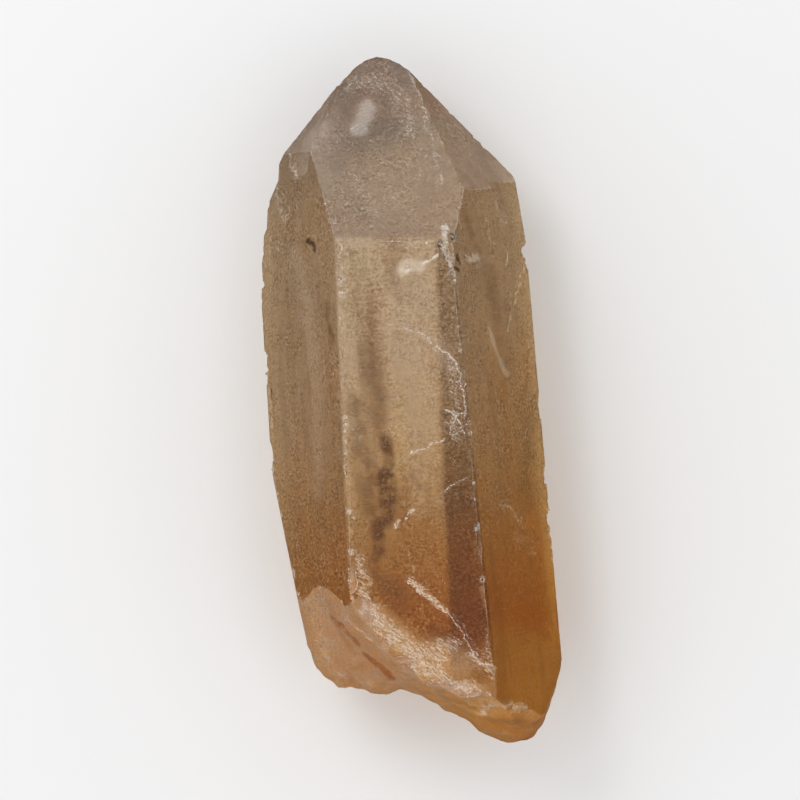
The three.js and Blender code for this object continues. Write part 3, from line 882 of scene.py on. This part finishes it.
# %% [markdown]
# Chips, cracks and sugary patches are white because their tiny faces scatter the light. The fine grain
# breaks them all up, so that they sparkle instead of looking painted. The sugary ones are also drawn
# out into strands along the lip of the break, and the soft haze makes a thin veil. The same white is
# painted light where the drawn lines are the highlight, the glows and the two glints.

# %% White wear and painted light
CHALK_AND_PAINTED_LIGHT = (0.90, 0.82, 0.73, 1)
LIP_DIRECTION = math.radians(-40)
STRAND_MM = (2.4, 0.30, 0.8)
FLECK_STRANDS, FLECK_GRAIN = 0.55, 0.45
SUGAR_DRAWN = 0.45
SUGAR_EDGE = (0.77, 0.95)
SUGAR_COVER = 0.74
CRACK_AND_GLINT_GRAIN = 0.9
CRACK_AND_GLINT_EDGE = (0.90, 1.14)
CRACK_AND_GLINT_COVER = 0.80
CHIP_EDGE, CHIP_GRAIN = (0.02, 0.4), (0.42, 0.60)
CHIP_COVER = (0.9, 0.4)
WORN_EDGE, WORN_PATCH, WORN_GRAIN = (0.72, 0.95), (0.42, 0.58), (0.30, 0.55)
WORN_COVER = 0.5
VEIL_GRAIN, VEIL_LEAST = 0.8, 0.3

along_lip = sh.add("Mapping", {"Vector": mm, "Rotation": (0, 0, LIP_DIRECTION), "Scale": STRAND_MM},
                   vector_type="TEXTURE")
strands = sh.noise(along_lip.outputs["Vector"], 1.0, 2, 0.7)
sugary = sh.value_of("sugary")
hazy_and_lit = sh.value_of("hazy_and_lit")
flecks = sh.plus(strands, FLECK_STRANDS, sh.times(grain, FLECK_GRAIN))
sparkle = sh.step(sh.plus(sugary, SUGAR_DRAWN, flecks), *SUGAR_EDGE)
crack_and_glint_line = sh.step(sh.plus(grain, CRACK_AND_GLINT_GRAIN, sh.value_of("cracked_and_glinting")), *CRACK_AND_GLINT_EDGE)
chip_frost = sh.times(sh.step(sh.value_of("chipped"), *CHIP_EDGE), sh.step(grain, *CHIP_GRAIN))
worn_edge = sh.times(sh.step(sh.value_of("edge_wear"), *WORN_EDGE), sh.less(broken))
worn_edge = sh.times(worn_edge, sh.step(coarse, *WORN_PATCH), sh.step(grain, *WORN_GRAIN))
# Painted light: the highlight, glows and glints among the drawn lines are whitened here too.
flaws_and_painted_light = sh.most(
    sh.times(sparkle, SUGAR_COVER),
    sh.times(crack_and_glint_line, CRACK_AND_GLINT_COVER),
    sh.times(chip_frost, sh.blend_value(point, *CHIP_COVER)),
    sh.times(worn_edge, WORN_COVER),
    sh.times(hazy_and_lit, sh.plus(fine, VEIL_GRAIN, VEIL_LEAST)),
)
white = sh.most(flaws_and_painted_light, dust)
colour = sh.blend(flaws_and_painted_light, colour, CHALK_AND_PAINTED_LIGHT)
print("strands:", STRAND_MM[0], "mm long")

# %% [markdown]
# Grown faces shine, the point is frosted, the break lies between. What is frosted or rubbed lets less
# light through and scatters the rest. Growth lines run across the sides as a fine relief, too small for
# the mesh, so a bump carries them. The break feels rougher, and its relief is stronger.

# %% Finish and relief
QUARTZ_IOR = 1.544
INNER_COLOUR = (0.81, 0.60, 0.27, 1)
INNER_DENSITY = 9.5
SHINY, FROSTED, ON_BREAK, ON_WHITE = 0.29, 0.38, 0.33, 0.62
FROSTED_ABOVE = (70.0, 105.0)
FROST_OF_POINT = 0.8
SCRATCH_ACROSS, SCRATCH_FINE = 0.45, 0.45
SCRATCH_EDGE = (0.45, 1.25)
RUBBED_SIDE, RUBBED_FRONT = 0.13, 0.30
RUBBED_ABOVE = (-66.0, -6.0)
RUBBED_GAIN = 1.5
FROST_GRAIN = (0.38, 0.62)
FROST_DEPTH = (0.08, 0.22)
HAZE_ON_BREAK, HAZE_ON_SUGAR, HAZE_ON_RUST, HAZE_ON_WHITE = 0.34, 0.16, 0.7, 0.9
LINES_PER_MM = (0.10, 1.8, 0.10)
PITTING_PER_MM = 2.2
PITTING_GROWN, PITTING_BROKEN = 0.7, 2.5
RELIEF = 0.2 * MM
RELIEF_SHARE = 0.18

frosted = sh.most(sh.times(point, FROST_OF_POINT), sh.step(up_stone, *FROSTED_ABOVE))
roughness = sh.blend_value(frosted, SHINY, FROSTED)
roughness = sh.blend_value(broken_end, roughness, ON_BREAK)
roughness = sh.blend_value(white, roughness, ON_WHITE)
scratches = sh.plus(fine, SCRATCH_FINE, sh.plus(across, SCRATCH_ACROSS, columns))
rubbed = sh.times(sh.step(scratches, *SCRATCH_EDGE), sh.step(y, *RUBBED_ABOVE), RUBBED_GAIN)
frost = sh.blend_value(sh.step(fine, *FROST_GRAIN), *FROST_DEPTH)
# The drawn haze, which holds painted light too, also lets less light through here.
haze_and_light = sh.most(
    sh.times(rubbed, sh.blend_value(front, RUBBED_SIDE, RUBBED_FRONT)),
    sh.times(frosted, frost),
    hazy_and_lit,
    sh.times(broken_end, HAZE_ON_BREAK),
    sh.times(sugary, HAZE_ON_SUGAR),
    sh.times(rust, HAZE_ON_RUST),
    sh.times(white, HAZE_ON_WHITE),
)
clear = sh.math("SUBTRACT", 1.0, haze_and_light, clamp=True)
lines = sh.noise(sh.stretch(mm, LINES_PER_MM), 1.0, 1)
pitting = sh.noise(mm, PITTING_PER_MM, 1)
relief = sh.plus(pitting, sh.blend_value(broken, PITTING_GROWN, PITTING_BROKEN), lines)
bump = sh.add("Bump", {"Strength": RELIEF_SHARE, "Distance": RELIEF, "Height": relief})
glassy = sh.add("BsdfPrincipled", {
    "Base Color": colour, "Roughness": roughness, "IOR": QUARTZ_IOR, "Transmission Weight": clear,
    "Normal": bump.outputs["Normal"],
})
absorb = sh.add("VolumeAbsorption", {"Color": INNER_COLOUR, "Density": INNER_DENSITY})
sh.add("OutputMaterial", {"Surface": glassy.outputs[0], "Volume": absorb.outputs[0]})
stone_mesh.materials.clear()
stone_mesh.materials.append(sh.owner)
print("nodes in the citrine:", len(sh.tree.nodes))

# %% [markdown]
# The stone lies on a table of plain white paper. The paper lights the stone from below but isn't
# mirrored in its sides, so that their colour stays deep.

# %% Floor
FLOOR_HALF = 6.0
PAPER_DULL = (0.90, 0.90, 0.905, 1)
PAPER_BRIGHT = (0.93, 0.93, 0.935, 1)
PAPER_ROUGHNESS = 0.9

bm = bmesh.new()
bmesh.ops.create_grid(bm, x_segments=1, y_segments=1, size=FLOOR_HALF)
floor_mesh = bpy.data.meshes.new("floor")
bm.to_mesh(floor_mesh)
bm.free()
floor = bpy.data.objects.new("floor", floor_mesh)
bpy.context.scene.collection.objects.link(floor)
floor.visible_glossy = False
paper = Shading(bpy.data.materials.new("white_paper"))
paper_coords = paper.add("TexCoord").outputs["Object"]
mottle = paper.noise(paper_coords, 3.0, 4)
paper_colour = paper.blend(mottle, PAPER_DULL, PAPER_BRIGHT)
matte = paper.add("BsdfPrincipled", {"Base Color": paper_colour, "Roughness": PAPER_ROUGHNESS})
paper.add("OutputMaterial", {"Surface": matte.outputs[0]})
floor_mesh.materials.append(paper.owner)
print("floor:", 2 * FLOOR_HALF, "m wide")

# %% [markdown]
# A clear stone shows what is around it, so the room is a world of light rather than a few lamps: bright
# all round, a little less on the right, and dark below the table. It is darker straight above, as a
# photographer and a camera make it, so that the front face mirrors no glare. One soft lamp gives the
# stone its shadow.

# %% Light of the room
ROOM_LIGHT = 0.92
OVERHEAD = 0.25
BELOW_TABLE = 0.10
RIGHT_SIDE_LESS = -0.10
OVERHEAD_FROM = (0.93, 0.985)
TABLE_LINE = (-0.12, 0.04)
KEY_PLACE = (-0.55, 0.75, 1.1)
KEY_WIDTH = 0.7
KEY_WATTS = 4.0

room = Shading(bpy.data.worlds.new("studio"))
bpy.context.scene.world = room.owner
way = room.add("SeparateXYZ", {"Vector": room.add("TexCoord").outputs["Generated"]})
overhead = room.step(way.outputs["Z"], *OVERHEAD_FROM)
from_left = room.plus(way.outputs["X"], RIGHT_SIDE_LESS, 1.0)
above_table = room.step(way.outputs["Z"], *TABLE_LINE)
walls = room.blend_value(above_table, BELOW_TABLE, ROOM_LIGHT)
strength = room.times(from_left, room.blend_value(overhead, walls, OVERHEAD))
sky = room.add("Background", {"Color": (1.0, 1.0, 1.0, 1), "Strength": strength})
room.add("OutputWorld", {"Surface": sky.outputs[0]})


def soft_light(name, place, size, power):
    lamp = bpy.data.lights.new(name, "AREA")
    lamp.shape = "DISK"
    lamp.size = size
    lamp.energy = power
    holder = bpy.data.objects.new(name, lamp)
    holder.location = place
    holder.rotation_mode = "QUATERNION"
    holder.rotation_quaternion = (-Vector(place)).to_track_quat("-Z", "Y")
    holder.visible_camera = False
    bpy.context.scene.collection.objects.link(holder)


soft_light("key", KEY_PLACE, KEY_WIDTH, KEY_WATTS)
print("room light:", ROOM_LIGHT, " overhead:", OVERHEAD)

# %% [markdown]
# The camera looks straight down on the lying stone. It is turned by a few degrees, so that the stone
# leans in the picture as the real one does. A long lens far away keeps the sides parallel.

# %% Camera
TILT = math.radians(5.0)
PHOTO_PIXEL = 0.2612 * MM
PHOTO_WIDTH = 800 * PHOTO_PIXEL
MOVED_LEFT = 2.9 * PHOTO_PIXEL
MOVED_UP = 2.8 * PHOTO_PIXEL
LENS = 420.0
SENSOR = 36.0
STAND_OFF = LENS / SENSOR * PHOTO_WIDTH
SILHOUETTE_HEIGHT = 30 * MM
FAR = 50.0

camera = bpy.data.objects.new("camera", bpy.data.cameras.new("camera"))
camera.data.lens = LENS
camera.data.sensor_width = SENSOR
camera.data.clip_end = FAR
camera.rotation_euler = (0.0, 0.0, -TILT)
right = Vector((math.cos(TILT), -math.sin(TILT), 0))
up = Vector((math.sin(TILT), math.cos(TILT), 0))
camera.location = up * MOVED_UP - right * MOVED_LEFT
camera.location.z = STAND_OFF + SILHOUETTE_HEIGHT
bpy.context.scene.collection.objects.link(camera)
bpy.context.scene.camera = camera
print("camera", round(camera.location.z, 2), "m above the floor")

# %% [markdown]
# Light has to cross many faces inside a clear stone, so it is allowed many turns. Colours are shown as
# they are, without a film look.

# %% View settings
scene = bpy.context.scene
scene.view_settings.view_transform = "Standard"
scene.cycles.max_bounces = 8
scene.cycles.transmission_bounces = 7
scene.cycles.transparent_max_bounces = 8
scene.cycles.use_denoising = True
print("turns of light:", scene.cycles.max_bounces)
